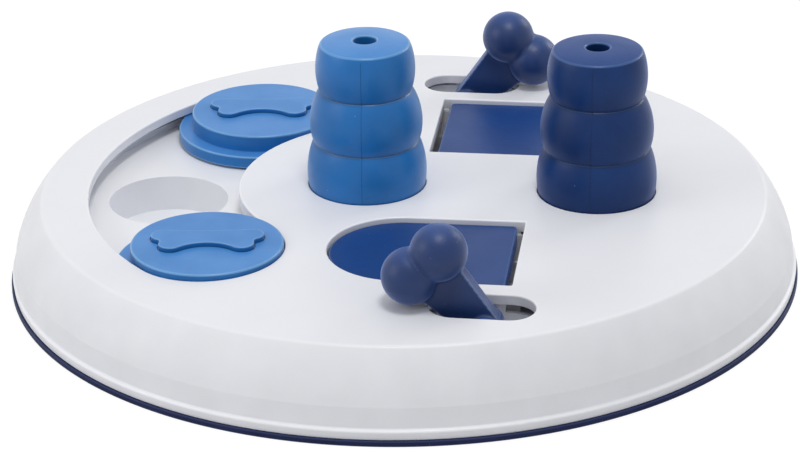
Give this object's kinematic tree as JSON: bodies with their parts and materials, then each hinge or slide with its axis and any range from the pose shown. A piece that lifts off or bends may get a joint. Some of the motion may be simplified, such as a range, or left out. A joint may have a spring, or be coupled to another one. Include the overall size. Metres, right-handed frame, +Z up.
{
  "type": "dog puzzle feeder",
  "caption": "Round treat board for dogs with hollow lift-off cones, sliding bone discs on a crescent track and bone levers that tip flaps over treat wells.",
  "frame": {"origin": "middle of the underside of the anti-slip ring, on the floor", "axes": "+Z up; +X along the line of the two cones, away from the crescent window; -Y the front"},
  "size_m": [0.23, 0.23, 0.0703],
  "materials": {
    "white_shell": "moulded ABS with a fine satin grain",
    "white_tray": "moulded ABS, plain",
    "navy_rubber": "moulded soft rubber, matt",
    "light_blue_plastic": "moulded polypropylene, satin",
    "navy_plastic": "moulded polypropylene, satin",
    "screw_steel": "zinc-plated steel"
  },
  "bodies": {
    "board": {"top_cover": "white_shell", "well_tray": "white_tray", "base_plate": "white_tray", "anti_slip_ring": "navy_rubber", "pin_plugs": "white_tray", "tray_screws": "screw_steel", "base_screws": "screw_steel"},
    "cone_left": {"cone_left": "light_blue_plastic"},
    "cone_right": {"cone_right": "navy_plastic"},
    "disc_front": {"disc_cap_front": "light_blue_plastic", "disc_plate_front": "light_blue_plastic", "disc_screws_front": "screw_steel"},
    "disc_back": {"disc_cap_back": "light_blue_plastic", "disc_plate_back": "light_blue_plastic", "disc_screws_back": "screw_steel"},
    "flap_front": {"flap_front": "navy_plastic", "lever_front": "navy_plastic", "hinge_pin_front": "screw_steel"},
    "flap_back": {"flap_back": "navy_plastic", "lever_back": "navy_plastic", "hinge_pin_back": "screw_steel"}
  },
  "joints": [
    {"name": "cone_left_lift", "type": "slide", "parent": "board", "child": "cone_left", "axis": [0, 0, 1], "range_m": [0, 0.06]},
    {"name": "cone_right_lift", "type": "slide", "parent": "board", "child": "cone_right", "axis": [0, 0, 1], "range_m": [0, 0.06]},
    {"name": "disc_front_slide", "type": "hinge", "parent": "board", "child": "disc_front", "pos_m": [0, 0, 0.02], "axis": [0, 0, 1], "range_deg": [-46, 0]},
    {"name": "disc_back_slide", "type": "hinge", "parent": "board", "child": "disc_back", "pos_m": [0, 0, 0.02], "axis": [0, 0, 1], "range_deg": [0, 46]},
    {"name": "flap_front_tip", "type": "hinge", "parent": "board", "child": "flap_front", "pos_m": [0.0324, -0.08, 0.0198], "axis": [0, 1, 0], "range_deg": [0, 76]},
    {"name": "flap_back_tip", "type": "hinge", "parent": "board", "child": "flap_back", "pos_m": [0.0104, 0.08, 0.0198], "axis": [0, -1, 0], "range_deg": [0, 76]}
  ]
}
